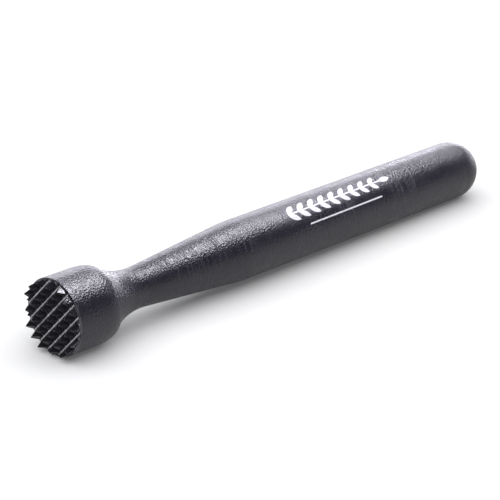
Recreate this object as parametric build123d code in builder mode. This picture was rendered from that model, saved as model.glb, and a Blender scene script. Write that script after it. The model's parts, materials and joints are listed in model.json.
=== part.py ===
"""Bar muddler in moulded black plastic, lying on a table as it is put down.

The tool axis runs from the toothed face (towards -X) to the round end (towards +X). The tool
rests on the back of its head and on the far end of its grip, so the axis dips a little towards
the round end. The origin is on the table, under the middle of the tool. All sizes are in mm.
"""

import os
from math import acos, atan2, cos, degrees, hypot, sin

from build123d import *

# ---- Outside of the body, from the rim of the toothed face to the round end ----
head_radius = 16.0  # at the rim
head_draft = 0.1  # what the head's wall loses on radius, so that it leaves its mould
head_wall = 14.4  # length of that wall
shoulder_depth = 7.7  # soft rounding behind the head, along the axis
shoulder_drop = 2.1  # and across it
shoulder_root = 0.4  # small radius where the rounding meets the cove
cove_length = 21.0  # hollow curve from the head down to the neck
neck_radius = 8.5  # where the cove runs into the taper
taper_length = 50.5
taper_blend = 80.0  # long radius between the taper and the grip
grip_radius = 12.8
grip_length = 136.4  # straight part, before the round end
rim_edge = 0.25  # broken edge of the rim

# ---- Toothed face ----
tooth_height = 3.4
tooth_pitch = 4.75
tooth_rows = 7  # each way, with the middle one on the axis
tooth_tip = 0.25  # width of the flat on a tooth
groove_land = 0.35  # width of the flat at the bottom of a groove
grid_turn = 43.7  # how far the grooves are turned about the axis from upright, in degrees

# ---- Inside: core, and the seat of the tooth plate ----
skin_wall = 2.5  # skin over the core
rim_wall = 0.7  # skin around the tooth plate
plate_thickness = 3.0  # under the teeth
spigot_radius = 6.0
spigot_length = 9.0
spigot_lead = 0.6  # chamfer that starts the spigot in its socket
plate_lead = 0.3  # chamfer under the plate's edge
seat_clearance = 0.05  # on radius, around the plate and the spigot
socket_end_gap = 0.6  # left for the adhesive under the spigot
key_groove_count = 5  # rings round the core that lock the skin to it
key_groove_width = 3.0
key_groove_depth = 0.8
key_groove_pitch = 24.0

# ---- Printed mark: a leafy sprig over a plain rule ----
ink_film = 0.03
mark_position = 151.0  # middle of the mark, from the rim
mark_angle = 36.2  # how far round from the top of the grip, in degrees
sprig_length = 62.3
stem_width = 0.7
leaf_length = 6.4
leaf_width = 2.7
leaf_lean = 36.0  # angle between a leaf and the stem
leaf_pairs = 9
leaf_shrink = 0.2  # share that the last pair has lost
rule_length = 44.1
rule_width = 0.6
rule_drop = 6.8  # from the stem to the rule

# ---- Sizes that follow ----
head_rear_radius = head_radius - head_draft
shoulder_radius = head_rear_radius - shoulder_drop
head_length = head_wall + shoulder_depth
neck_position = head_length + cove_length
taper_end = neck_position + taper_length
grip_end = taper_end + grip_length
body_length = grip_end + grip_radius
plate_radius = head_radius - rim_wall - seat_clearance

# ---- How the tool lies: the head's wall and the end of the grip both touch the table ----
support_span = grip_end - head_wall
rest_tilt = acos(grip_radius / hypot(head_rear_radius, support_span)) - atan2(support_span, head_rear_radius)
tool_middle = (body_length - tooth_height) / 2
rim_height = grip_radius + grip_end * sin(rest_tilt)
tool_frame = Plane(
    origin=(-tool_middle * cos(rest_tilt), 0, rim_height),
    x_dir=(cos(rest_tilt), 0, -sin(rest_tilt)),
    z_dir=(sin(rest_tilt), 0, cos(rest_tilt)),
)
tool_axis = Axis(tool_frame.origin, tool_frame.x_dir)
profile_plane = Plane(tool_frame.origin, x_dir=tool_frame.x_dir, z_dir=-tool_frame.y_dir)  # y is out from the axis

# ---- Outline of the whole body ----
with BuildSketch(profile_plane) as body_outline:
    with BuildLine():
        neck = Vector(neck_position, neck_radius)
        taper_top = Vector(taper_end, grip_radius)
        shoulder_end = Vector(head_length, shoulder_radius)
        Polyline((head_wall, head_rear_radius), (0, head_radius), (0, 0), (body_length, 0))
        EllipticalCenterArc((head_wall, shoulder_radius), shoulder_depth, shoulder_drop, arc_size=90)
        TangentArc(neck, shoulder_end, tangent=neck - taper_top)
        Polyline(neck, taper_top, (grip_end, grip_radius))
        CenterArc((grip_end, 0), grip_radius, 0, 90)
    make_face()
    fillet(body_outline.vertices().sort_by_distance((taper_end, grip_radius))[0], taper_blend)
    fillet(body_outline.vertices().sort_by_distance((head_length, shoulder_radius))[0], shoulder_root)
    fillet(body_outline.vertices().sort_by_distance((0, head_radius))[0], rim_edge)

# ---- Outline of the core: the same run of shapes, one skin further in ----
core_head_radius = head_rear_radius - skin_wall
core_neck_radius = neck_radius - skin_wall
core_grip_radius = grip_radius - skin_wall
core_shoulder = Vector(head_length - skin_wall, shoulder_radius - skin_wall)
first_key_groove = (taper_end + grip_end - (key_groove_count - 1) * key_groove_pitch) / 2

with BuildSketch(profile_plane) as core_outline:
    with BuildLine():
        core_neck = Vector(neck_position, core_neck_radius)
        core_taper_top = Vector(taper_end, core_grip_radius)
        Polyline(
            core_shoulder,
            (core_shoulder.X, core_head_radius),
            (plate_thickness, core_head_radius),
            (plate_thickness, 0),
            (grip_end + core_grip_radius, 0),
        )
        TangentArc(core_neck, core_shoulder, tangent=core_neck - core_taper_top)
        Polyline(core_neck, core_taper_top, (grip_end, core_grip_radius))
        CenterArc((grip_end, 0), core_grip_radius, 0, 90)
    make_face()
    key_grooves = [(first_key_groove + i * key_groove_pitch, core_grip_radius) for i in range(key_groove_count)]
    with Locations(*key_grooves):
        Rectangle(key_groove_width, 2 * key_groove_depth, mode=Mode.SUBTRACT)

# ---- Body core: moulded first, with the socket for the tooth plate's spigot ----
with BuildPart() as body_core:
    revolve(core_outline.sketch, axis=tool_axis)
    with BuildSketch(profile_plane) as socket_outline:
        socket_depth = spigot_length + socket_end_gap
        with Locations((plate_thickness, 0)):
            Rectangle(socket_depth, spigot_radius + seat_clearance, align=(Align.MIN, Align.MIN))
    revolve(axis=tool_axis, mode=Mode.SUBTRACT)

# ---- Body skin: moulded over the core, open at the rim to take the tooth plate ----
with BuildPart() as body_skin:
    revolve(body_outline.sketch, axis=tool_axis)
    revolve(core_outline.sketch, axis=tool_axis, mode=Mode.SUBTRACT)
    with BuildSketch(profile_plane) as seat_outline:
        Rectangle(plate_thickness, head_radius - rim_wall, align=(Align.MIN, Align.MIN))
    revolve(axis=tool_axis, mode=Mode.SUBTRACT)

# ---- Tooth plate: disc and spigot, with two crossing sets of grooves cut into its face ----
groove_slope = (tooth_pitch - tooth_tip - groove_land) / 2 / tooth_height


def half_groove(depth_above_land):
    """Half of a groove's width, that far above the flat at its bottom."""
    return groove_land / 2 + groove_slope * depth_above_land


with BuildPart() as tooth_plate:
    with BuildSketch(profile_plane) as plate_outline:
        with BuildLine():
            Polyline(
                (-tooth_height, 0),
                (-tooth_height, plate_radius),
                (plate_thickness - plate_lead, plate_radius),
                (plate_thickness, plate_radius - plate_lead),
                (plate_thickness, spigot_radius),
                (plate_thickness + spigot_length - spigot_lead, spigot_radius),
                (plate_thickness + spigot_length, spigot_radius - spigot_lead),
                (plate_thickness + spigot_length, 0),
                close=True,
            )
        make_face()
    revolve(axis=tool_axis)
    cutter_top = 1.5 * tooth_height
    for turn in (grid_turn, grid_turn + 90):
        with BuildSketch(tool_frame.rotated((turn, 0, 0))) as grooves:
            with GridLocations(0, tooth_pitch, 1, tooth_rows - 1):
                Polygon(
                    (0, -half_groove(0)),
                    (-cutter_top, -half_groove(cutter_top)),
                    (-cutter_top, half_groove(cutter_top)),
                    (0, half_groove(0)),
                    align=None,
                )
        extrude(amount=head_radius, both=True, mode=Mode.SUBTRACT)

# ---- Printed mark: an ink film on the grip, cut to the sprig and the rule ----
with BuildSketch() as leaf:
    with BuildLine():
        SagittaArc((0, 0), (leaf_length, 0), leaf_width / 2)
        SagittaArc((leaf_length, 0), (0, 0), leaf_width / 2)
    make_face()

stem_start = mark_position - sprig_length / 2
stem_end = mark_position + sprig_length / 2 - leaf_length
leaf_pitch = (stem_end - stem_start) / leaf_pairs

with BuildPart() as printed_mark:
    with BuildSketch(profile_plane) as film_outline:
        with Locations((mark_position, grip_radius)):
            Rectangle(1.1 * sprig_length, ink_film, align=(Align.CENTER, Align.MIN))
    revolve(axis=tool_axis)
    with BuildSketch(tool_frame.rotated((mark_angle, 0, 0))) as mark_outline:
        with Locations(((stem_start + stem_end + stem_width) / 2, 0)):
            Rectangle(stem_end - stem_start + stem_width, stem_width)
        for pair in range(leaf_pairs):
            size = 1 - leaf_shrink * pair / leaf_pairs
            for side in (-1, 1):
                with Locations(Location((stem_start + pair * leaf_pitch, 0, 0), (0, 0, side * leaf_lean))):
                    add(leaf.sketch.scale(size))
        with Locations((stem_end, 0)):
            add(leaf.sketch)
        with Locations((mark_position, -rule_drop)):
            Rectangle(rule_length, rule_width)
    extrude(amount=2 * grip_radius, mode=Mode.INTERSECT)

# ---- Label and write each piece ----
os.makedirs("parts", exist_ok=True)
pieces = {
    "body_core": body_core,
    "body_skin": body_skin,
    "tooth_plate": tooth_plate,
    "printed_mark": printed_mark,
}
for name, piece in pieces.items():
    piece.part.label = name
    export_step(piece.part, f"parts/{name}.step")
    print(name, len(piece.part.solids()), "solid(s),", round(piece.part.volume, 2), "mm3")

print("rest tilt", round(degrees(rest_tilt), 4), "degrees; overall length", body_length + tooth_height, "mm")
print("groove angle", round(2 * degrees(atan2(groove_slope, 1)), 1), "degrees")
grip_middle = tool_frame.from_local_coords((grip_end - grip_length / 2, 0, 0))
print("grip middle", tuple(round(c, 4) for c in grip_middle), "along", tuple(round(c, 6) for c in tool_frame.x_dir))
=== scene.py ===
# %% [markdown]
# # A bar muddler in moulded black plastic
#
# A muddler is the stick that a bartender presses fruit and herbs with. It has a toothed face, a
# round head, a thin neck and a long grip. This notebook builds its looks around a finished CAD
# model. The model comes in first and is never moved. Every new piece takes its place from it.

# %% Load the CAD model
import json
import math

import bmesh
import bpy
import numpy as np
from mathutils import Matrix, Vector


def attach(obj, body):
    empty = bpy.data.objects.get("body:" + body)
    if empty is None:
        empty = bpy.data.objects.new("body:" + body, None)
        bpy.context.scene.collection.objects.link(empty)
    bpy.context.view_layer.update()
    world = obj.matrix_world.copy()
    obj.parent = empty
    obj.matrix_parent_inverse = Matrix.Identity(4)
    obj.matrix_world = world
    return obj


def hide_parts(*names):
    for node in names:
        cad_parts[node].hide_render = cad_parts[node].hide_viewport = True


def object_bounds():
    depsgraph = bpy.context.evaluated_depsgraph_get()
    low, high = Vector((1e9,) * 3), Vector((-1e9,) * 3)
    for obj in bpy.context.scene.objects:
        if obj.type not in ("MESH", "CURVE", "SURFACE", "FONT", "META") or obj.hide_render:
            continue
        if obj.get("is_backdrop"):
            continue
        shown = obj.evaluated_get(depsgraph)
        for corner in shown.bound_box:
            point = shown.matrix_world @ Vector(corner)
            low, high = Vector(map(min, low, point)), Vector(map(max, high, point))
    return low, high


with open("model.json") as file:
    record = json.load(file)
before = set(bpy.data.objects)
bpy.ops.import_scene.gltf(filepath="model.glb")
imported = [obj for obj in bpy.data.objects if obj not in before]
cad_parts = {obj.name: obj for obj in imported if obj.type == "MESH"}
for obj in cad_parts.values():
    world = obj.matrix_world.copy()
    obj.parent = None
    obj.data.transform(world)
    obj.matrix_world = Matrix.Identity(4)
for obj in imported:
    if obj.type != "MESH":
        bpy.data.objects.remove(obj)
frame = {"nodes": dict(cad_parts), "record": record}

cad_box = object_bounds()
print("CAD nodes:", sorted(frame["nodes"]))

# %% [markdown]
# ## Units, colours and nodes
#
# Blender counts in metres, and a maker counts in millimetres, so every size below is written in
# millimetres and multiplied by MM. Colours are written as hex values, the way a paint or plastic
# supplier gives them, and the renderer needs them linear. Shaders and Geometry Nodes are built by
# one small function, which adds a node, sets its properties and its inputs, links it, and gives
# back one of its outputs. A node's sockets often share a name, and are then picked by number.

# %% Helpers
MM = 0.001
WHOLE_TURN = 2 * math.pi
SHARE, FIRST, SECOND, MIXED = 0, 6, 7, 2  # the sockets of a Mix node that mixes colours


def linear(hex_colour):
    """The linear RGBA of an sRGB hex colour such as #1d1a1e."""
    shares = [int(hex_colour[i:i + 2], 16) / 255 for i in (1, 3, 5)]
    return [c / 12.92 if c <= 0.04045 else ((c + 0.055) / 1.055) ** 2.4 for c in shares] + [1.0]


def add(tree, kind, inputs=None, out=None, **properties):
    """Adds a node. Each input takes a socket to link from, or a plain value.

    It returns the output that out names or counts, or the node itself if none is asked for.
    """
    node = tree.nodes.new(kind)
    for name, value in properties.items():
        setattr(node, name, value)
    for name, value in (inputs or {}).items():
        if isinstance(value, bpy.types.NodeSocket):
            tree.links.new(value, node.inputs[name])
        else:
            node.inputs[name].default_value = value
    return node if out is None else node.outputs[out]


def span(value, start, end, low=0.0, high=1.0):
    """What a Map Range node needs to give low at start, high at end and a slope between them."""
    return {"Value": value, "From Min": start, "From Max": end, "To Min": low, "To Max": high}


# %% [markdown]
# ## The tool's own axis
#
# The muddler lies on the table, so its axis isn't quite level: the head is thicker than the grip.
# The record has a mount on the grip, with a point on the axis and its direction. The rim of the
# toothed face and the round end are then the two ends of the skin, measured along that axis.

# %% Axis, rim and end, from the CAD model
grip_mount = next(m for m in frame["record"]["mounts"] if m["name"] == "grip")
axis = Vector(grip_mount["axis"]).normalized()
side = Vector((0, -1, 0))  # level, towards the camera's side of the tool
upward = axis.cross(side).normalized()
if upward.z < 0:
    upward.negate()

skin_points = np.array([v.co for v in frame["nodes"]["body_skin"].data.vertices])
along = (skin_points - np.array(grip_mount["pos_m"])) @ np.array(axis)
rim_centre = Vector(grip_mount["pos_m"]) + axis * float(along.min())
skin_length = float(along.max() - along.min())
tool_turn = Matrix((axis, -side, upward)).transposed().to_euler()
print("axis", [round(c, 5) for c in axis], "skin length", round(skin_length / MM, 2), "mm")

# %% [markdown]
# ## Camera
#
# The view is from the toothed end, a little above the table, through a long lens. A long lens from
# far away keeps the two sides of the grip nearly parallel. The camera is placed by the point that
# it aims at, its distance and two angles.

# %% Camera
AIM = Vector((-16.12, -1.10, 12.79)) * MM
CAMERA_DISTANCE = 876.95 * MM
CAMERA_AZIMUTH = math.radians(-44.298)
CAMERA_ELEVATION = math.radians(23.824)
LENS_LENGTH = 152.507  # in mm, as is the sensor
SENSOR_WIDTH = 36.0

camera_data = bpy.data.cameras.new("camera")
camera_data.lens = LENS_LENGTH
camera_data.sensor_width = SENSOR_WIDTH
camera = bpy.data.objects.new("camera", camera_data)
bpy.context.scene.collection.objects.link(camera)
back = Vector((
    math.sin(CAMERA_AZIMUTH) * math.cos(CAMERA_ELEVATION),
    -math.cos(CAMERA_AZIMUTH) * math.cos(CAMERA_ELEVATION),
    math.sin(CAMERA_ELEVATION),
))
camera.location = AIM + back * CAMERA_DISTANCE
camera.rotation_mode = "QUATERNION"
camera.rotation_quaternion = (-back).to_track_quat("-Z", "Y")
bpy.context.scene.camera = camera
bpy.context.scene.view_settings.view_transform = "Standard"
print("camera at", [round(c, 3) for c in camera.location])

# %% [markdown]
# ## Table and light
#
# Black plastic shows only what it mirrors, so the light is really a picture that the surface
# reflects. The tool lies on a light table, an opal sheet lit weakly from below, which softens its
# shadow. A long low panel behind it gives the bright band on top of the grip, a smaller box
# overhead gives a second, narrower band in front of the first, and a low strip past the round end
# lights the hollow behind the head. The walls are pale near the table and dim higher up, which
# keeps the sides of the tool dark. A photographer sets black flags around such lamps, so that
# they throw no hard shadow over the table, and lights the table itself from a wide ceiling panel.
# Light linking does the same here: each lamp lights either the tool or the table.

# %% Table
TABLE_HALF = 4.0
TABLE_GLOW = 0.08        # its own light, with 1 as white
TABLE_MOTTLE = 40 * MM   # the opal sheet is never quite even
OPAL_DARK = "#c8c8c9"
OPAL_PALE = "#cccccc"
OPAL_ROUGHNESS = 0.9

table_mesh = bpy.data.meshes.new("table")
corners = [(x * TABLE_HALF, y * TABLE_HALF, 0) for x, y in ((-1, -1), (1, -1), (1, 1), (-1, 1))]
table_mesh.from_pydata(corners, [], [(0, 1, 2, 3)])
table = bpy.data.objects.new("table", table_mesh)
bpy.context.scene.collection.objects.link(table)
table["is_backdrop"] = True

opal = bpy.data.materials.new("opal_acrylic_lit_from_below")
opal.use_nodes = True
tree = opal.node_tree
shader = tree.nodes["Principled BSDF"]
shader.inputs["Roughness"].default_value = OPAL_ROUGHNESS
shader.inputs["Specular IOR Level"].default_value = 0.0
shader.inputs["Emission Color"].default_value = linear("#ffffff")
shader.inputs["Emission Strength"].default_value = TABLE_GLOW
place = add(tree, "ShaderNodeTexCoord", out="Object")
mottle = add(tree, "ShaderNodeTexNoise", {"Vector": place, "Scale": 1 / TABLE_MOTTLE}, "Fac")
shades = {SHARE: mottle, FIRST: linear(OPAL_DARK), SECOND: linear(OPAL_PALE)}
tint = add(tree, "ShaderNodeMix", shades, MIXED, data_type="RGBA")
tree.links.new(tint, shader.inputs["Base Color"])
table_mesh.materials.append(opal)

# %% Studio walls
WALL_COLOUR = "#f4f6ff"
WALL_PALE, WALL_DIM = 0.7, 0.22   # brightness near the table and higher up, with 1 as white
DIM_FROM, DIM_TO = 0.02, 0.30     # the heights between which they dim, with straight up as 1

world = bpy.data.worlds.new("studio_walls")
bpy.context.scene.world = world
world.use_nodes = True
walls = world.node_tree
walls.nodes.clear()
direction = add(walls, "ShaderNodeTexCoord", out="Generated")
height = add(walls, "ShaderNodeSeparateXYZ", {0: direction}, "Z")
dimming = span(height, DIM_FROM, DIM_TO, WALL_PALE, WALL_DIM)
strength = add(walls, "ShaderNodeMapRange", dimming, "Result", interpolation_type="SMOOTHSTEP")
wall_values = {"Color": linear(WALL_COLOUR), "Strength": strength}
wall_light = add(walls, "ShaderNodeBackground", wall_values, "Background")
add(walls, "ShaderNodeOutputWorld", {"Surface": wall_light})


# %% Soft boxes
DAYLIGHT = "#f5f4ff"


def light_reach(name, state):
    """What a lamp reaches: INCLUDE is the table only, EXCLUDE is everything except the table."""
    reach = bpy.data.collections.new(name)
    reach.objects.link(table)
    reach.collection_objects[0].light_linking.link_state = state
    return reach


table_only = light_reach("table_only", "INCLUDE")
tool_only = light_reach("tool_only", "EXCLUDE")


def soft_box(name, reach, place, width, depth, brightness):
    """A large even lamp that faces the tool. Its brightness is what a mirror shows, 1 as white."""
    lamp = bpy.data.lights.new(name, "AREA")
    lamp.shape = "RECTANGLE"
    lamp.size, lamp.size_y, lamp.energy = width, depth, brightness * math.pi * width * depth
    if reach == tool_only:
        lamp.color = linear(DAYLIGHT)[:3]
    holder = bpy.data.objects.new(name, lamp)
    bpy.context.scene.collection.objects.link(holder)
    holder.location = place
    holder.rotation_mode = "QUATERNION"
    holder.rotation_quaternion = (-Vector(place)).to_track_quat("-Z", "Y")
    holder.light_linking.receiver_collection = reach
    print(name, round(lamp.energy, 1), "W")


soft_box("panel_behind", tool_only, (1.30, 1.80, 0.68), 2.4, 1.26, 4.3)
soft_box("soft_box_above", tool_only, (0.67, -0.02, 1.12), 0.86, 0.36, 31.0)
soft_box("strip_past_the_end", tool_only, (2.1, 0.60, 0.18), 2.0, 0.34, 9.0)
soft_box("ceiling_panel", table_only, (0.0, 0.0, 1.8), 4.0, 4.0, 2.5)

# %% [markdown]
# ## Outline of the body
#
# The body was turned on paper before it was ever moulded: one outline, spun about the axis. The
# outline is a list of points, each with its distance along the axis from the rim and its radius.
# Rounded parts are arcs with many points, so that reflections run over them without a kink.

# %% Sizes of the body
HEAD_RADIUS = 16.0
HEAD_DRAFT = 0.1  # what the wall loses on radius, so that it leaves its mould
HEAD_WALL = 14.4
SHOULDER_DEPTH = 7.7
SHOULDER_DROP = 2.1
SHOULDER_ROOT = 0.2  # the CAD model has 0.4 here
COVE_LENGTH = 21.0
NECK_RADIUS = 8.5
TAPER_LENGTH = 50.5
TAPER_BLEND = 80.0
GRIP_RADIUS = grip_mount["dims"]["r_mm"]
RIM_EDGE = 0.25
RIM_WALL = 0.7
PLATE_THICKNESS = 3.0
SKIN_WALL = 2.5
KEY_GROOVES = 5
KEY_WIDTH = 3.0
KEY_DEPTH = 0.8
KEY_PITCH = 24.0

head_rear_radius = HEAD_RADIUS - HEAD_DRAFT
head_length = HEAD_WALL + SHOULDER_DEPTH
neck_position = head_length + COVE_LENGTH
taper_end = neck_position + TAPER_LENGTH
body_length = skin_length / MM
grip_end = body_length - GRIP_RADIUS
shoulder_radius = head_rear_radius - SHOULDER_DROP
print("grip from", round(taper_end, 1), "to", round(grip_end, 1), "mm")


# %% Arcs
def arc(centre, across, down, start, end, count):
    """Points on an ellipse or a circle, with angles in degrees from the axis direction."""
    angles = np.radians(np.linspace(start, end, count))
    return [(centre[0] + across * math.cos(a), centre[1] + down * math.sin(a)) for a in angles]


def tangent_arc(start, end, heading, count):
    """Points on the circle that leaves start along heading and passes through end."""
    start, end, heading = Vector(start), Vector(end), Vector(heading).normalized()
    normal = Vector((-heading.y, heading.x))
    chord = end - start
    if chord.dot(normal) < 0:
        normal.negate()
    radius = chord.length_squared / (2 * chord.dot(normal))
    centre = start + normal * radius
    first, last = (math.atan2(*(p - centre).yx) for p in (start, end))
    if last - first > math.pi:
        last -= WHOLE_TURN
    if first - last > math.pi:
        last += WHOLE_TURN
    angles = np.linspace(first, last, count)
    return [(centre.x + radius * math.cos(a), centre.y + radius * math.sin(a)) for a in angles]


def rounded(before, corner, after, radius, count=8):
    """Points that round the corner between two straight runs."""
    before, corner, after = Vector(before), Vector(corner), Vector(after)
    into, out = (corner - before).normalized(), (after - corner).normalized()
    reach = radius * math.tan(into.angle(out) / 2)
    return tangent_arc(corner - into * reach, corner + out * reach, into, count)


# %% The outside outline, from the seat of the tooth plate to the round end
neck = (neck_position, NECK_RADIUS)
taper_top = (taper_end, GRIP_RADIUS)
taper_rise = GRIP_RADIUS - NECK_RADIUS
taper_back = (-TAPER_LENGTH, -taper_rise)
seat_mouth = (0, HEAD_RADIUS - RIM_WALL)

rim = rounded(seat_mouth, (0, HEAD_RADIUS), (HEAD_WALL, head_rear_radius), RIM_EDGE)
head_wall = [(f * HEAD_WALL, HEAD_RADIUS - HEAD_DRAFT * f) for f in np.linspace(0.1, 0.93, 10)]
shoulder = arc((HEAD_WALL, shoulder_radius), SHOULDER_DEPTH, SHOULDER_DROP, 90, 0, 40)
cove = tangent_arc(neck, (head_length, shoulder_radius), taper_back, 64)[::-1]
root = rounded(shoulder[-2], shoulder[-1], cove[1], SHOULDER_ROOT, 5)
taper_shares = np.linspace(0.05, 0.9, 18)
taper = [(neck[0] + f * TAPER_LENGTH, neck[1] + f * taper_rise) for f in taper_shares]
blend = rounded(neck, taper_top, (grip_end, GRIP_RADIUS), TAPER_BLEND, 12)
grip_rings = np.linspace(taper_end + TAPER_LENGTH / 6, grip_end - 2, 34)
grip = [(s, GRIP_RADIUS) for s in grip_rings]
round_end = arc((grip_end, 0), GRIP_RADIUS, GRIP_RADIUS, 90, 0, 48)
outside = [seat_mouth] + rim + head_wall + shoulder[:-1] + root + cove[1:] + taper + blend + grip
outside += round_end
steps = [math.dist(a, b) for a, b in zip(outside, outside[1:])]
print(len(outside), "outline points; longest step", round(max(steps), 2), "mm")

# %% [markdown]
# ## Inside of the skin
#
# The skin is a shell moulded over a core, so its inside is an outline too. Rings on the inside of
# the shell fill grooves round the core, and these lock the two together.

# %% The inside outline, back from the round end to the seat
inner_grip = GRIP_RADIUS - SKIN_WALL
inner_neck = (neck_position, NECK_RADIUS - SKIN_WALL)
inner_shoulder = (head_length - SKIN_WALL, shoulder_radius - SKIN_WALL)
inner_head = head_rear_radius - SKIN_WALL
last_key = (taper_end + grip_end + (KEY_GROOVES - 1) * KEY_PITCH) / 2
keys = []
for middle in (last_key - i * KEY_PITCH for i in range(KEY_GROOVES)):
    near, far, floor = middle - KEY_WIDTH / 2, middle + KEY_WIDTH / 2, inner_grip - KEY_DEPTH
    keys += [(far, inner_grip), (far, floor), (near, floor), (near, inner_grip)]
inside = (
    arc((grip_end, 0), inner_grip, inner_grip, 0, 90, 12)
    + keys + [(taper_end, inner_grip)]
    + tangent_arc(inner_neck, inner_shoulder, taper_back, 16)
    + [(inner_shoulder[0], inner_head), (PLATE_THICKNESS, inner_head)]
    + [(PLATE_THICKNESS, seat_mouth[1]), seat_mouth]
)

# %% [markdown]
# ## Spinning an outline with Geometry Nodes
#
# The shape follows a rule: every point of the outline goes round the axis in a circle. The tree
# below makes a flat grid, with one column for each outline point and one row for each step of the
# turn, and moves every grid point to its place. The same tree also spins the blank of the tooth
# plate. Where the outline touches the axis, a ring of points falls together and is merged into
# one, and an edge that is left with no face is deleted, so the shell is closed.


# %% The spinning tree
PLACE_INPUTS = [
    ("Outline", "NodeSocketGeometry"), ("Steps Round", "NodeSocketInt"),
    ("Start", "NodeSocketVector"), ("Axis", "NodeSocketVector"),
    ("Upward", "NodeSocketVector"), ("Sideways", "NodeSocketVector"),
    ("Finish", "NodeSocketMaterial"),
]
MERGE_WITHIN = 0.001 * MM


def new_tree(name, sockets):
    """A Geometry Nodes tree with named inputs. Returns it with its input sockets."""
    tree = bpy.data.node_groups.new(name, "GeometryNodeTree")
    for socket_name, kind in sockets:
        tree.interface.new_socket(name=socket_name, in_out="INPUT", socket_type=kind)
    tree.interface.new_socket(name="Piece", in_out="OUTPUT", socket_type="NodeSocketGeometry")
    return tree, add(tree, "NodeGroupInput").outputs


def end_tree(tree, geometry, finish):
    """Every tree ends in Realize Instances and Set Material."""
    real = add(tree, "GeometryNodeRealizeInstances", {"Geometry": geometry}, 0)
    finished = add(tree, "GeometryNodeSetMaterial", {"Geometry": real, "Material": finish}, 0)
    add(tree, "NodeGroupOutput", {0: finished})
    return tree


def spin_tree():
    tree, given = new_tree("spin_outline", PLACE_INPUTS)
    outline, steps_round = given["Outline"], given["Steps Round"]

    columns = add(tree, "GeometryNodeAttributeDomainSize", {"Geometry": outline}, "Point Count",
                  component="MESH")
    rows = add(tree, "ShaderNodeMath", {0: steps_round, 1: 1.0}, 0, operation="ADD")
    sheet = add(tree, "GeometryNodeMeshGrid", {"Vertices X": columns, "Vertices Y": rows}, "Mesh")

    # Which outline point and which step of the turn each grid point stands for.
    number = add(tree, "GeometryNodeInputIndex", out=0)
    middle = add(tree, "ShaderNodeMath", {0: number, 1: 0.5}, 0, operation="ADD")
    passed = add(tree, "ShaderNodeMath", {0: middle, 1: rows}, 0, operation="DIVIDE")
    column = add(tree, "ShaderNodeMath", {0: passed}, 0, operation="FLOOR")
    before = add(tree, "ShaderNodeMath", {0: column, 1: rows}, 0, operation="MULTIPLY")
    row = add(tree, "ShaderNodeMath", {0: number, 1: before}, 0, operation="SUBTRACT")
    share = add(tree, "ShaderNodeMath", {0: row, 1: steps_round}, 0, operation="DIVIDE")
    turn = add(tree, "ShaderNodeMath", {0: share, 1: WHOLE_TURN}, 0, operation="MULTIPLY")

    # From the start, along the axis, and then out by the radius at that angle.
    here = add(tree, "GeometryNodeInputPosition", out=0)
    wanted = {"Geometry": outline, "Value": here, "Index": column}
    sampled = add(tree, "GeometryNodeSampleIndex", wanted, 0, data_type="FLOAT_VECTOR")
    point = add(tree, "ShaderNodeSeparateXYZ", {0: sampled}).outputs
    move = {0: given["Axis"], 1: point["X"], 2: given["Start"]}
    place = add(tree, "ShaderNodeVectorMath", move, 0, operation="MULTIPLY_ADD")
    for way, wave in (("Upward", "COSINE"), ("Sideways", "SINE")):
        part = add(tree, "ShaderNodeMath", {0: turn}, 0, operation=wave)
        reach = add(tree, "ShaderNodeMath", {0: point["Y"], 1: part}, 0, operation="MULTIPLY")
        move = {0: given[way], 1: reach, 2: place}
        place = add(tree, "ShaderNodeVectorMath", move, 0, operation="MULTIPLY_ADD")
    spun = add(tree, "GeometryNodeSetPosition", {"Geometry": sheet, "Position": place}, 0)

    # Close the poles, and drop the edges that are left without a face.
    near = {"Geometry": spun, "Distance": MERGE_WITHIN}
    closed = add(tree, "GeometryNodeMergeByDistance", near, 0)
    faces = add(tree, "GeometryNodeInputMeshEdgeNeighbors", out=0)
    bare = add(tree, "FunctionNodeCompare", {2: faces, 3: 0}, 0, data_type="INT",
               operation="EQUAL")
    drop = {"Geometry": closed, "Selection": bare}
    clean = add(tree, "GeometryNodeDeleteGeometry", drop, 0, domain="EDGE", mode="EDGE_FACE")
    smooth = add(tree, "GeometryNodeSetShadeSmooth", {"Geometry": clean}, 0)
    return end_tree(tree, smooth, given["Finish"])


# %% Turning a tree's result into a plain mesh
def outline_mesh(name, points):
    """The outline as a chain of edges, in metres."""
    mesh = bpy.data.meshes.new(name)
    chain = [(i, i + 1) for i in range(len(points) - 1)]
    mesh.from_pydata([(s * MM, r * MM, 0) for s, r in points], chain, [])
    return mesh


def make_piece(name, start_mesh, tree, values):
    """Runs a tree on a mesh and keeps the result as a plain mesh with no modifier."""
    piece = bpy.data.objects.new(name, start_mesh)
    bpy.context.scene.collection.objects.link(piece)
    modifier = piece.modifiers.new("build", "NODES")
    modifier.node_group = tree
    for item in tree.interface.items_tree:
        if item.in_out == "INPUT" and item.name in values:
            modifier[item.identifier] = values[item.name]
    bpy.context.view_layer.update()
    evaluated = piece.evaluated_get(bpy.context.evaluated_depsgraph_get())
    mesh = bpy.data.meshes.new_from_object(evaluated)
    piece.modifiers.clear()
    piece.data = mesh
    mesh.name = name
    return piece


FLAT_ENOUGH = math.radians(0.5)  # faces that differ by less are joined into one


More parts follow.
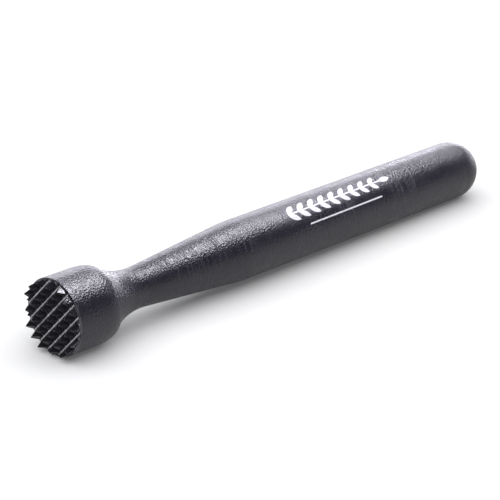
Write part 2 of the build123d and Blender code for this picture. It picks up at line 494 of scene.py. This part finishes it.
def face_outward(piece, join_flat=False):
    """Turns every face to point out of the closed solid, and says what it measures."""
    shape = bmesh.new()
    shape.from_mesh(piece.data)
    if join_flat:
        bmesh.ops.dissolve_limit(
            shape, angle_limit=FLAT_ENOUGH, verts=shape.verts, edges=shape.edges)
    bmesh.ops.recalc_face_normals(shape, faces=shape.faces)
    if shape.calc_volume(signed=True) < 0:
        bmesh.ops.reverse_faces(shape, faces=shape.faces)
    open_edges = sum(1 for e in shape.edges if len(e.link_faces) != 2)
    volume = shape.calc_volume(signed=True) / MM ** 3
    shape.to_mesh(piece.data)
    shape.free()
    count = len(piece.data.polygons)
    print(piece.name, count, "faces,", open_edges, "open edges,", round(volume), "mm3")


# %% [markdown]
# ## Where a pattern sits on the tool
#
# Scuffs run round the tool and wear sits on its edges, so the materials need to know where the
# axis is. A Mapping node moves and turns the object's own coordinates into the tool's: X runs
# along the axis from the rim, Y points away from the camera and Z points up.


# %% Coordinates along and round the axis
def start_finish(name):
    """A new material. Returns it, its tree and coordinates along and round the tool's axis."""
    material = bpy.data.materials.new(name)
    material.use_nodes = True
    tree = material.node_tree
    place = add(tree, "ShaderNodeTexCoord", out="Object")
    mapping = {"Vector": place, "Location": rim_centre, "Rotation": tool_turn}
    place = add(tree, "ShaderNodeMapping", mapping, 0, vector_type="TEXTURE")
    return material, tree, place


def end_finish(tree, ior, colour, roughness, normal):
    """Sets what is the same all over, and links what varies over the surface."""
    shader = tree.nodes["Principled BSDF"]
    shader.inputs["IOR"].default_value = ior
    for name, value in {"Base Color": colour, "Roughness": roughness, "Normal": normal}.items():
        tree.links.new(value, shader.inputs[name])


# %% [markdown]
# ## The black plastic
#
# The body is moulded in black ABS. Its mould was spark eroded, which leaves a fine even grain all
# over and takes the gloss down to satin. The grain breaks the edge of every highlight into
# speckles, most of all on the head and the taper. Handling has left fine scuffs that run round the
# tool, in patches, and has dulled the round end, which sits in the palm.

# %% Moulded black ABS
SPARK_GRAIN = 0.8 * MM    # the real grain is about 0.1 mm; drawn coarser so that it shows
GRAIN_DEPTH = 0.13 * MM
FLOW_WAVES = 5.0 * MM     # slow waves where the thick wall sank as it cooled
WAVE_DEPTH = 0.04 * MM
HAIR_WIDTH = 0.3 * MM     # a scuff's width along the axis; a real one is about 0.05 mm
HAIR_LENGTH = 14 * MM     # and how far it runs round the tool
HAIR_DEPTH = 0.10 * MM
SCUFF_PATCH = 22 * MM
PALM_START = 208 * MM     # where the palm's dulling begins, from the rim
# Within this distance of the rim a lighter grey is painted: a painted highlight along the rim's
# edge.
RIM_HIGHLIGHT_REACH = 0.8 * MM

BODY_BLACK = "#15121e"
SCUFF_GREY = "#3c3943"
PALM_BLACK = "#211f24"
# The colour of the painted highlight at the rim.
RIM_HIGHLIGHT_GREY = "#5c595f"
BODY_IOR = 1.46           # a little under clean ABS, which has about 1.53
BODY_ROUGHNESS = (0.27, 0.36)
PALM_DULLING = 0.18       # added to the roughness where the palm has been
SCUFF_DULLING = 0.12      # and in a scuff

# Noise lies between about 0.3 and 0.7. Each pair picks the heights where an effect fades in.
WHOLE_NOISE = (0.3, 0.7)
HAIR_PEAKS = (0.58, 0.66)
PATCH_EDGES = (0.44, 0.58)
PALM_EDGES = (0.2, 0.7)
RUB_AND_HIGHLIGHT_EDGES = (0.35, 0.6)


def spark_grain(tree, place):
    """Each spark leaves a small round pit, so the grain is cells with a dip in each."""
    cells = {"Vector": place, "Scale": 1 / SPARK_GRAIN}
    return add(tree, "ShaderNodeTexVoronoi", cells, "Distance")


def black_abs():
    material, tree, place = start_finish("black_abs_spark_eroded")
    from_rim = add(tree, "ShaderNodeSeparateXYZ", {0: place}, "X")
    grain = spark_grain(tree, place)
    lumps = {"Vector": place, "Scale": 1 / FLOW_WAVES, "Detail": 1.0}
    waves = add(tree, "ShaderNodeTexNoise", lumps, "Fac")
    lumps = {"Vector": place, "Scale": 1 / SCUFF_PATCH, "Detail": 1.0}
    patches = add(tree, "ShaderNodeTexNoise", lumps, "Fac")

    # A scuff is a lump of noise drawn out into a hair that runs round the tool.
    stretch = {0: place, 1: (1 / HAIR_WIDTH, 1 / HAIR_LENGTH, 1 / HAIR_LENGTH)}
    drawn = add(tree, "ShaderNodeVectorMath", stretch, 0, operation="MULTIPLY")
    strands = add(tree, "ShaderNodeTexNoise", {"Vector": drawn, "Scale": 1.0}, "Fac")
    hairs = add(tree, "ShaderNodeMapRange", span(strands, *HAIR_PEAKS), "Result")
    past_head = span(from_rim, HEAD_WALL * MM, neck_position * MM)
    for limit in (span(patches, *PATCH_EDGES), past_head):
        within = add(tree, "ShaderNodeMapRange", limit, "Result")
        hairs = add(tree, "ShaderNodeMath", {0: hairs, 1: within}, 0, operation="MULTIPLY")

    # Wear at the round end, and a painted highlight in lighter grey at the rim, each by distance,
    # and uneven with the waves.
    uneven_shares = []
    for nearness, edges in (((PALM_START, skin_length), PALM_EDGES), ((RIM_HIGHLIGHT_REACH, 0.0), RUB_AND_HIGHLIGHT_EDGES)):
        near = add(tree, "ShaderNodeMapRange", span(from_rim, *nearness), "Result")
        uneven = add(tree, "ShaderNodeMapRange", span(waves, *edges), "Result")
        uneven_shares.append(add(tree, "ShaderNodeMath", {0: near, 1: uneven}, 0, operation="MULTIPLY"))
    palm, rim_highlight = uneven_shares

    colour = linear(BODY_BLACK)
    for share, shade in ((hairs, SCUFF_GREY), (palm, PALM_BLACK), (rim_highlight, RIM_HIGHLIGHT_GREY)):
        shades = {SHARE: share, FIRST: colour, SECOND: linear(shade)}
        colour = add(tree, "ShaderNodeMix", shades, MIXED, data_type="RGBA")
    gloss = add(tree, "ShaderNodeMapRange", span(waves, *WHOLE_NOISE, *BODY_ROUGHNESS), "Result")
    for share, dulling in ((palm, PALM_DULLING), (hairs, SCUFF_DULLING)):
        duller = {0: share, 1: dulling, 2: gloss}
        gloss = add(tree, "ShaderNodeMath", duller, 0, operation="MULTIPLY_ADD")
    normal = add(tree, "ShaderNodeBump", {"Height": waves, "Distance": WAVE_DEPTH}, 0)
    for relief, depth in ((hairs, HAIR_DEPTH), (grain, GRAIN_DEPTH)):
        layer = {"Height": relief, "Distance": depth, "Normal": normal}
        normal = add(tree, "ShaderNodeBump", layer, 0)
    end_finish(tree, BODY_IOR, colour, gloss, normal)
    return material


body_finish = black_abs()

# %% The body
STEPS_ROUND = 192
BODY_EDGE_ANGLE = 40  # edges sharper than this, in degrees, are shaded as sharp

tool_place = {
    "Start": rim_centre, "Axis": axis, "Upward": upward, "Sideways": side,
    "Steps Round": STEPS_ROUND,
}
spin = spin_tree()
body_outline = outline_mesh("body_outline", outside + inside)
body = make_piece("moulded_body", body_outline, spin, {**tool_place, "Finish": body_finish})
face_outward(body)
body.data.set_sharp_from_angle(angle=math.radians(BODY_EDGE_ANGLE))
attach(body, "root")
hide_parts("body_skin")

# %% [markdown]
# ## The plastic of the tooth plate
#
# The tooth plate is moulded in the same black ABS, in an insert that was polished by hand, so it
# is glossier than the body. Its edges are sharp on paper and slightly soft in fact, which a Bevel
# node shows as a thin line of light on each. A pale colour is painted at the bottom of the grooves,
# as a painted highlight on the groove bottoms, and the tips are rubbed grey.

# %% Polished black ABS
EDGE_SOFTNESS = 0.15 * MM
EDGE_SAMPLES = 6
POLISH_MARKS = 0.9 * MM
MARK_DEPTH = 0.22 * MM
GROOVE_HIGHLIGHT_HEIGHT = 0.15 * MM   # how far the painted highlight climbs from the bottom of a groove
TIP_RUB = 0.35 * MM       # how far down from a tip the rub begins
TIP_BARE = 0.1 * MM       # and how far down it is full
TOOTH_HEIGHT = 3.4

TOOTH_BLACK = "#1c1a22"
# A near-white painted highlight along the bottoms of the grooves.
GROOVE_HIGHLIGHT_PALE = "#d8d6da"
TIP_GREY = "#5d5a60"
TOOTH_IOR = 1.5
TOOTH_ROUGHNESS = (0.16, 0.30)
GROOVE_HIGHLIGHT_EDGES = (0.3, 0.5)
GROOVE_HIGHLIGHT_SHARES = (0.45, 1.0)


def polished_abs():
    material, tree, place = start_finish("black_abs_polished_mould")
    from_rim = add(tree, "ShaderNodeSeparateXYZ", {0: place}, "X")
    lumps = {"Vector": place, "Scale": 1 / POLISH_MARKS}
    marks = add(tree, "ShaderNodeTexNoise", lumps, "Fac")
    lumps = {"Vector": place, "Scale": 1 / FLOW_WAVES, "Detail": 1.0}
    patches = add(tree, "ShaderNodeTexNoise", lumps, "Fac")

    # A painted highlight at the bottom of the grooves and rub on the tips, both by distance from
    # the rim.
    tips = -TOOTH_HEIGHT * MM
    groove_highlight_zone = span(from_rim, -GROOVE_HIGHLIGHT_HEIGHT, 0.0), span(patches, *GROOVE_HIGHLIGHT_EDGES, *GROOVE_HIGHLIGHT_SHARES)
    tip_zone = span(from_rim, tips + TIP_RUB, tips + TIP_BARE), span(marks, *RUB_AND_HIGHLIGHT_EDGES)
    colour = linear(TOOTH_BLACK)
    for (nearness, unevenness), shade in ((groove_highlight_zone, GROOVE_HIGHLIGHT_PALE), (tip_zone, TIP_GREY)):
        near = add(tree, "ShaderNodeMapRange", nearness, "Result")
        uneven = add(tree, "ShaderNodeMapRange", unevenness, "Result")
        share = add(tree, "ShaderNodeMath", {0: near, 1: uneven}, 0, operation="MULTIPLY")
        shades = {SHARE: share, FIRST: colour, SECOND: linear(shade)}
        colour = add(tree, "ShaderNodeMix", shades, MIXED, data_type="RGBA")

    gloss = add(tree, "ShaderNodeMapRange", span(patches, *WHOLE_NOISE, *TOOTH_ROUGHNESS), "Result")
    normal = add(tree, "ShaderNodeBevel", {"Radius": EDGE_SOFTNESS}, 0, samples=EDGE_SAMPLES)
    layer = {"Height": marks, "Distance": MARK_DEPTH, "Normal": normal}
    normal = add(tree, "ShaderNodeBump", layer, 0)
    end_finish(tree, TOOTH_IOR, colour, gloss, normal)
    return material


tooth_finish = polished_abs()

# %% [markdown]
# ## The tooth plate
#
# The plate is a turned disc with two crossing sets of V grooves in its face. What stands between
# the grooves are the teeth, and the round edge of the disc cuts the outer teeth short. The teeth
# could be placed one by one, but then each of the cut ones would be a special case. Cutting the
# grooves out of a spun blank gives them all at once. One wedge is the cutter, and the tree below
# repeats it in a row, turns the row to the grid's angle, cuts, and does the same once more across.

# %% Sizes of the tooth plate
TOOTH_PITCH = 4.75
GROOVES = 6
TOOTH_TIP = 0.25
GROOVE_LAND = 0.35
GRID_TURN = 43.7
SEAT_CLEARANCE = 0.05
SPIGOT_RADIUS = 6.0
SPIGOT_LENGTH = 9.0
SPIGOT_LEAD = 0.6
PLATE_LEAD = 0.3
CUTTER_SPARE = 0.2  # how far the cutter stands out of the face
CUTTER_REACH = HEAD_RADIUS + 2  # and how far it reaches from the axis each way
CROSSING_DROP = 0.003  # the second set is this much deeper, so that no two cuts share a plane

plate_radius = HEAD_RADIUS - RIM_WALL - SEAT_CLEARANCE
spigot_end = PLATE_THICKNESS + SPIGOT_LENGTH
plate_outline = [
    (-TOOTH_HEIGHT, 0), (-TOOTH_HEIGHT, plate_radius), (PLATE_THICKNESS - PLATE_LEAD, plate_radius),
    (PLATE_THICKNESS, plate_radius - PLATE_LEAD), (PLATE_THICKNESS, SPIGOT_RADIUS),
    (spigot_end - SPIGOT_LEAD, SPIGOT_RADIUS), (spigot_end, SPIGOT_RADIUS - SPIGOT_LEAD),
    (spigot_end, 0),
]


# %% One groove cutter
def wedge_mesh():
    """X runs along the groove, Y across it and Z out of the face."""
    slope = (TOOTH_PITCH - TOOTH_TIP - GROOVE_LAND) / 2 / TOOTH_HEIGHT
    top = TOOTH_HEIGHT + CUTTER_SPARE
    land, mouth = GROOVE_LAND / 2, GROOVE_LAND / 2 + slope * top
    section = [(-land, 0), (-mouth, top), (mouth, top), (land, 0)]
    corners = [(x * MM, y * MM, z * MM) for x in (-CUTTER_REACH, CUTTER_REACH) for y, z in section]
    sides = [(i, i + 4, (i + 1) % 4 + 4, (i + 1) % 4) for i in range(4)]
    faces = [(0, 1, 2, 3), (7, 6, 5, 4)] + sides
    mesh = bpy.data.meshes.new("groove_cutter")
    mesh.from_pydata(corners, [], faces)
    return mesh


# %% The cutting tree
def cut_tree(spin):
    tree, given = new_tree("cut_teeth", PLACE_INPUTS + [
        ("Cutter", "NodeSocketObject"), ("Grooves", "NodeSocketInt"),
        ("Pitch", "NodeSocketFloat"), ("Face Turn", "NodeSocketRotation"),
    ])
    blank = {name: given[name] for name, kind in PLACE_INPUTS}
    solid = add(tree, "GeometryNodeGroup", blank, 0, node_tree=spin)
    cutter = add(tree, "GeometryNodeObjectInfo", {"Object": given["Cutter"]}, "Geometry")

    # A row of cutters, centred on the axis.
    gaps = add(tree, "ShaderNodeMath", {0: given["Grooves"], 1: 1.0}, 0, operation="SUBTRACT")
    width = add(tree, "ShaderNodeMath", {0: gaps, 1: given["Pitch"]}, 0, operation="MULTIPLY")
    first = add(tree, "ShaderNodeMath", {0: width, 1: -0.5}, 0, operation="MULTIPLY")
    start = add(tree, "ShaderNodeCombineXYZ", {"Y": first}, 0)
    step = add(tree, "ShaderNodeCombineXYZ", {"Y": given["Pitch"]}, 0)
    spacing = {"Count": given["Grooves"], "Start Location": start, "Offset": step}
    line = add(tree, "GeometryNodeMeshLine", spacing, 0, mode="OFFSET")
    row = add(tree, "GeometryNodeInstanceOnPoints", {"Points": line, "Instance": cutter}, 0)

    # Two cuts, a quarter turn apart. The exact solver gives clean faces here.
    for quarter, drop in ((0.0, 0.0), (WHOLE_TURN / 4, CROSSING_DROP * MM)):
        aim = {"Geometry": row, "Rotation": (0, 0, quarter), "Translation": (0, 0, -drop)}
        turned = add(tree, "GeometryNodeTransform", aim, 0)
        seat = {"Geometry": turned, "Translation": given["Start"], "Rotation": given["Face Turn"]}
        placed = add(tree, "GeometryNodeTransform", seat, 0)
        cutters = add(tree, "GeometryNodeRealizeInstances", {"Geometry": placed}, 0)
        cut = {"Mesh 1": solid, "Mesh 2": cutters}
        solid = add(tree, "GeometryNodeMeshBoolean", cut, 0, operation="DIFFERENCE", solver="EXACT")
    return end_tree(tree, solid, given["Finish"])


# %% Cut the teeth
TOOTH_EDGE_ANGLE = 30

cutter = bpy.data.objects.new("groove_cutter", wedge_mesh())
face_out = -axis
grid = math.radians(GRID_TURN)
groove_way = upward * math.cos(grid) + side * math.sin(grid)
face_turn = Matrix((groove_way, face_out.cross(groove_way), face_out)).transposed().to_euler()
blank = outline_mesh("plate_outline", plate_outline)
plate = make_piece("tooth_plate_cut", blank, cut_tree(spin), {
    **tool_place, "Cutter": cutter, "Grooves": GROOVES, "Pitch": TOOTH_PITCH * MM,
    "Face Turn": face_turn, "Finish": tooth_finish,
})
face_outward(plate, join_flat=True)
plate.data.set_sharp_from_angle(angle=math.radians(TOOTH_EDGE_ANGLE))
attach(plate, "root")
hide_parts("tooth_plate")
bpy.data.objects.remove(cutter)

# %% [markdown]
# ## The printed mark
#
# The mark on the grip is a plain leafy sprig over a thin rule. It is pad printed: a soft silicone
# pad lifts white ink from an etched plate and rolls it on to the grip. The film follows the grain
# under it and is thinner where the pad lifted first, so the black shows through there a little.
# The CAD model already has the film's true shape, so its mesh stays and only gets this finish.

# %% White pad-printing ink
THIN_SPOTS = 1.1 * MM
INK_WEAR = 9.0 * MM
INK_WHITE = "#d6d5d7"
THIN_INK = "#a19fa4"
INK_IOR = 1.48
INK_ROUGHNESS = (0.42, 0.62)
SPOT_PEAKS = (0.50, 0.72)
WEAR_EDGES = (0.4, 0.6)
WEAR_SHARES = (0.25, 0.8)


def pad_ink():
    material, tree, place = start_finish("white_pad_printing_ink")
    lumps = {"Vector": place, "Scale": 1 / THIN_SPOTS, "Detail": 3.0, "Roughness": 0.6}
    spots = add(tree, "ShaderNodeTexNoise", lumps, "Fac")
    wear = add(tree, "ShaderNodeTexNoise", {"Vector": place, "Scale": 1 / INK_WEAR}, "Fac")
    thin = add(tree, "ShaderNodeMapRange", span(spots, *SPOT_PEAKS), "Result")
    handled = add(tree, "ShaderNodeMapRange", span(wear, *WEAR_EDGES, *WEAR_SHARES), "Result")
    uneven_shares = add(tree, "ShaderNodeMath", {0: thin, 1: handled}, 0, operation="MULTIPLY")
    shades = {SHARE: uneven_shares, FIRST: linear(INK_WHITE), SECOND: linear(THIN_INK)}
    colour = add(tree, "ShaderNodeMix", shades, MIXED, data_type="RGBA")
    gloss = add(tree, "ShaderNodeMapRange", span(spots, *WHOLE_NOISE, *INK_ROUGHNESS), "Result")
    relief = {"Height": spark_grain(tree, place), "Distance": GRAIN_DEPTH / 2}
    normal = add(tree, "ShaderNodeBump", relief, 0)
    end_finish(tree, INK_IOR, colour, gloss, normal)
    return material


# %% [markdown]
# ## The core
#
# The core is hidden, but it is still part of the model, so it gets the finish of what it is: nylon
# with short glass fibres, moulded against a plain machined tool. The fibres lie along the tool and
# show as fine pale streaks in a dull charcoal.

# %% Glass-filled nylon
FIBRE_WIDTH = 0.25 * MM   # a real fibre is about 0.01 mm wide; drawn coarser so that it shows
FIBRE_LENGTH = 3.0 * MM
FIBRE_DEPTH = 0.05 * MM
NYLON_CHARCOAL = "#26262a"
FIBRE_GREY = "#4a4a50"
NYLON_IOR = 1.5
NYLON_ROUGHNESS = (0.50, 0.68)
FIBRE_PEAKS = (0.5, 0.7)


def filled_nylon():
    material, tree, place = start_finish("glass_filled_nylon_moulded")
    stretch = {0: place, 1: (1 / FIBRE_LENGTH, 1 / FIBRE_WIDTH, 1 / FIBRE_WIDTH)}
    drawn = add(tree, "ShaderNodeVectorMath", stretch, 0, operation="MULTIPLY")
    fibres = add(tree, "ShaderNodeTexNoise", {"Vector": drawn, "Scale": 1.0}, "Fac")
    showing = add(tree, "ShaderNodeMapRange", span(fibres, *FIBRE_PEAKS), "Result")
    shades = {SHARE: showing, FIRST: linear(NYLON_CHARCOAL), SECOND: linear(FIBRE_GREY)}
    colour = add(tree, "ShaderNodeMix", shades, MIXED, data_type="RGBA")
    gloss = add(tree, "ShaderNodeMapRange", span(fibres, *WHOLE_NOISE, *NYLON_ROUGHNESS), "Result")
    normal = add(tree, "ShaderNodeBump", {"Height": fibres, "Distance": FIBRE_DEPTH}, 0)
    end_finish(tree, NYLON_IOR, colour, gloss, normal)
    return material


# %% Finishes on the CAD nodes that stay
for node_name, finish in (("printed_mark", pad_ink()), ("body_core", filled_nylon())):
    node = frame["nodes"][node_name]
    node.data.materials.clear()
    node.data.materials.append(finish)
    print(node_name, "->", finish.name)

# %% [markdown]
# ## Measure and finish
#
# The looks may not change the tool's size, so the box around everything is compared with the box
# of the CAD model.

# %% Measure and finish
bpy.context.view_layer.update()
new_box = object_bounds()
for which, low, high in zip("xyz", new_box[0] - cad_box[0], new_box[1] - cad_box[1]):
    print(which, "differs by", round(low / MM, 3), round(high / MM, 3), "mm")
